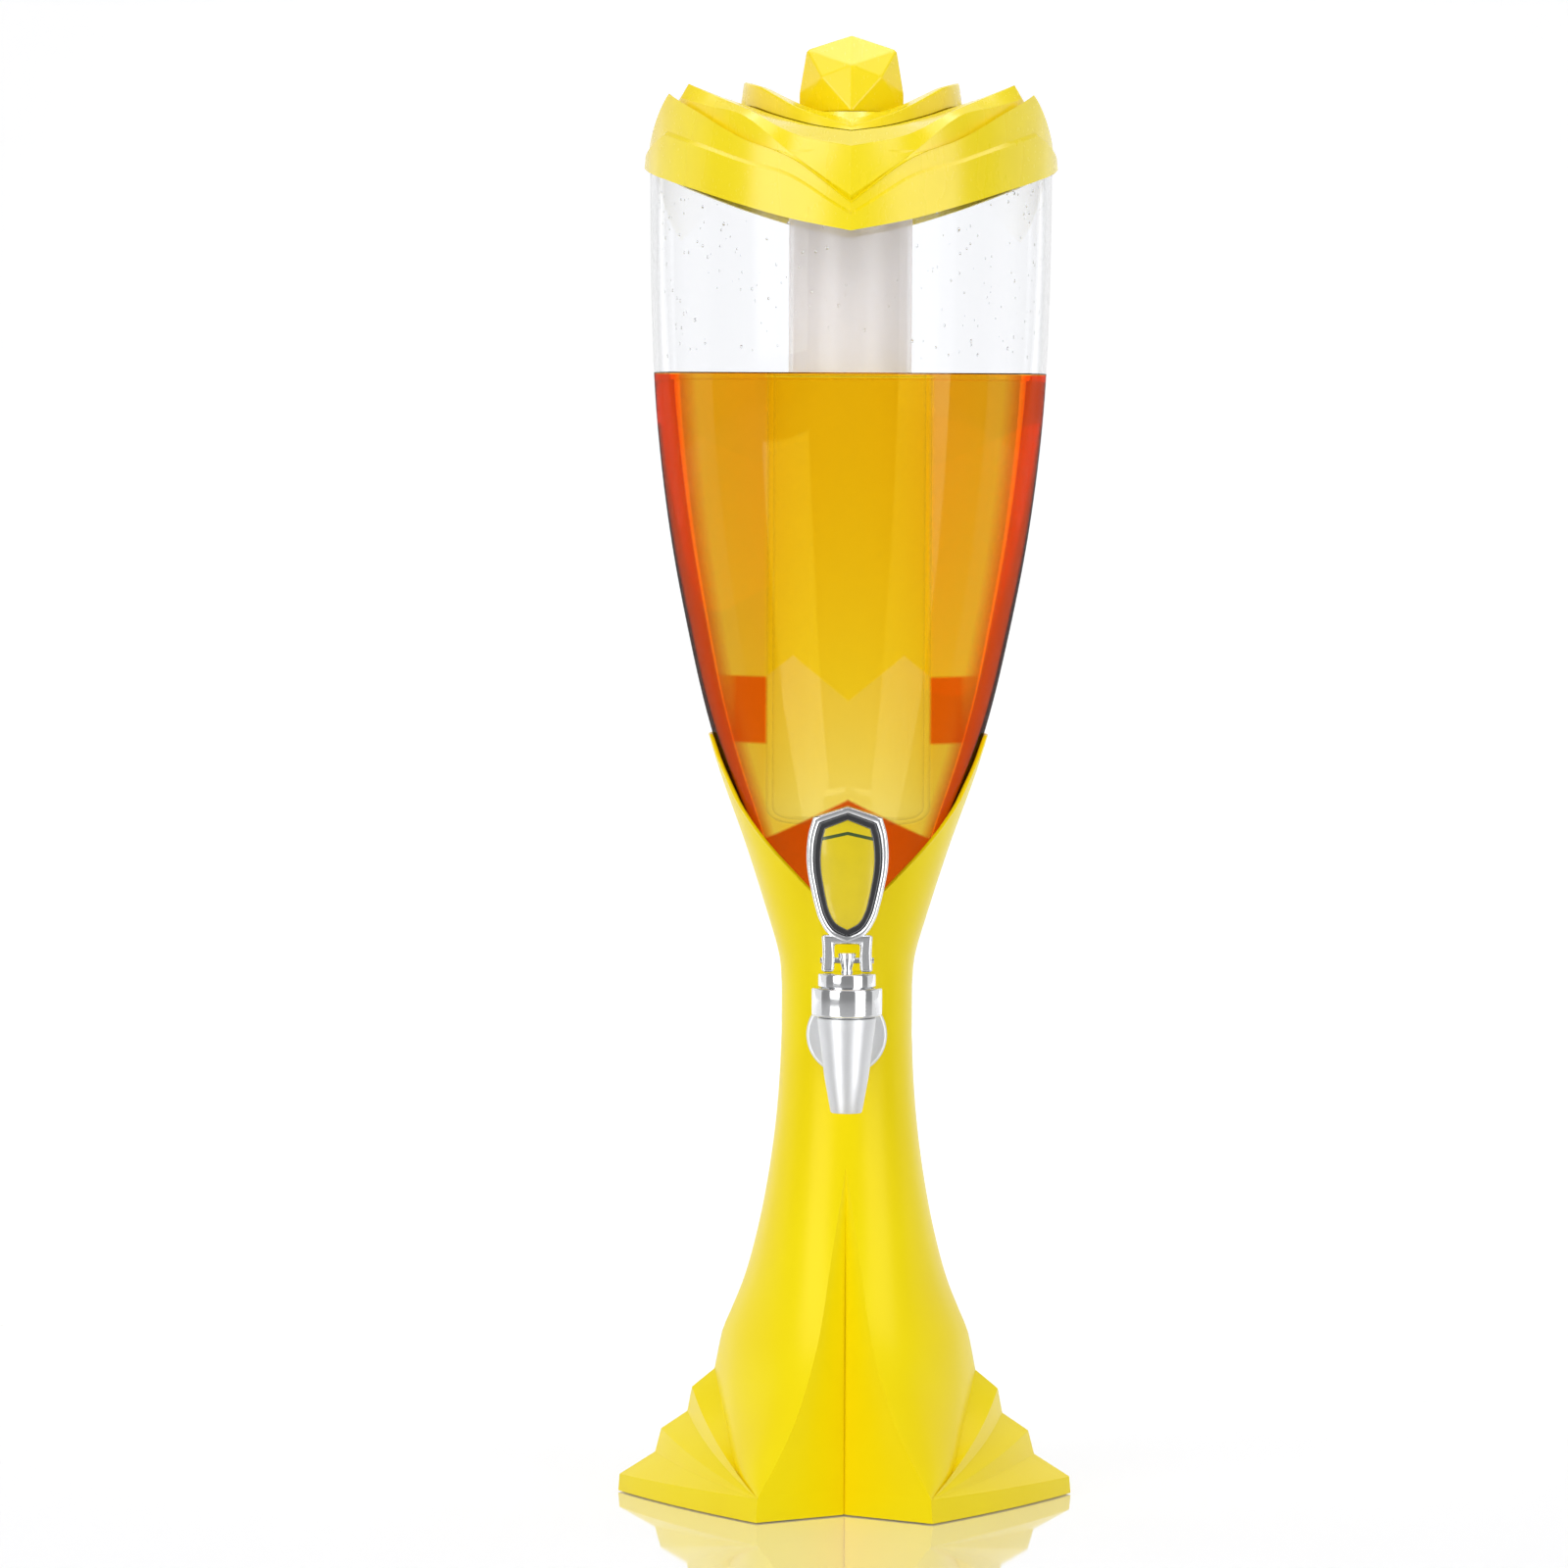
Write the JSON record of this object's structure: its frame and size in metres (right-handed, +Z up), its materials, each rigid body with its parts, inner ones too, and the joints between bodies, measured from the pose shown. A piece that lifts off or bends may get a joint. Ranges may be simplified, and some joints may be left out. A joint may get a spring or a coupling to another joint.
{
  "type": "tabletop beer dispenser",
  "caption": "Tall clear canister in a moulded star-footed stand, with a leaf-edged lid, a hanging ice tube and a chrome lever tap.",
  "frame": {"origin": "middle of the rest plane under the feet", "axes": "+Z up through the canister, -Y the front with the tap, +X the right side seen from the front"},
  "size_m": [0.1776, 0.165, 0.57],
  "materials": {
    "yellow_plastic": "glossy moulded yellow",
    "clear_plastic": "clear polished",
    "chrome": "bright plated",
    "steel": "plain",
    "rubber": "soft pale",
    "bezel": "dark glossy",
    "badge": "plain yellow plate"
  },
  "bodies": {
    "root": {"stand_shell": "yellow_plastic", "base_plate": "yellow_plastic", "base_screw_1": "steel", "base_screw_2": "steel", "base_screw_3": "steel", "base_screw_4": "steel", "rubber_foot_1": "rubber", "rubber_foot_2": "rubber", "rubber_foot_3": "rubber", "rubber_foot_4": "rubber", "canister": "clear_plastic", "canister_seat": "rubber", "tap_body": "chrome", "tap_flange": "chrome", "outer_gasket": "rubber", "inner_gasket": "rubber", "shank": "chrome", "shank_nut": "steel", "bonnet_nut": "chrome", "bonnet": "chrome", "return_spring": "steel"},
    "lid": {"lid": "yellow_plastic", "lid_seal": "rubber"},
    "ice_tube": {"ice_tube": "clear_plastic", "tube_seal": "rubber"},
    "ice_collar": {"ice_collar": "yellow_plastic", "collar_seal": "rubber", "cap_knob": "yellow_plastic", "knob_screw": "steel"},
    "valve_stem": {"valve_stem": "steel", "seat_cup": "rubber", "pivot_pin": "chrome"},
    "lever": {"lever_fork": "chrome", "lever_shield": "chrome", "lever_bezel": "bezel", "badge_plate": "badge"}
  },
  "joints": [
    {"name": "lid_lift", "type": "slide", "parent": "root", "child": "lid", "axis": [0, 0, 1], "range_m": [0, 0.27]},
    {"name": "tube_lift", "type": "slide", "parent": "lid", "child": "ice_tube", "axis": [0, 0, 1], "range_m": [0, 0.3]},
    {"name": "collar_lift", "type": "slide", "parent": "ice_tube", "child": "ice_collar", "axis": [0, 0, 1], "range_m": [0, 0.04]},
    {"name": "stem_lift", "type": "slide", "parent": "root", "child": "valve_stem", "axis": [0, 0, 1], "range_m": [0, 0.004], "deforming": ["return_spring"]},
    {"name": "lever_tilt", "type": "hinge", "parent": "valve_stem", "child": "lever", "pos_m": [0, -0.052, 0.2135], "axis": [1, 0, 0], "range_deg": [0, 50], "stiffness_Nm_per_rad": 0.06, "springref_deg": -14.32}
  ],
  "couplings": [
    {"joint": "stem_lift", "follows": "lever_tilt", "m_per_rad": 0.00458}
  ]
}
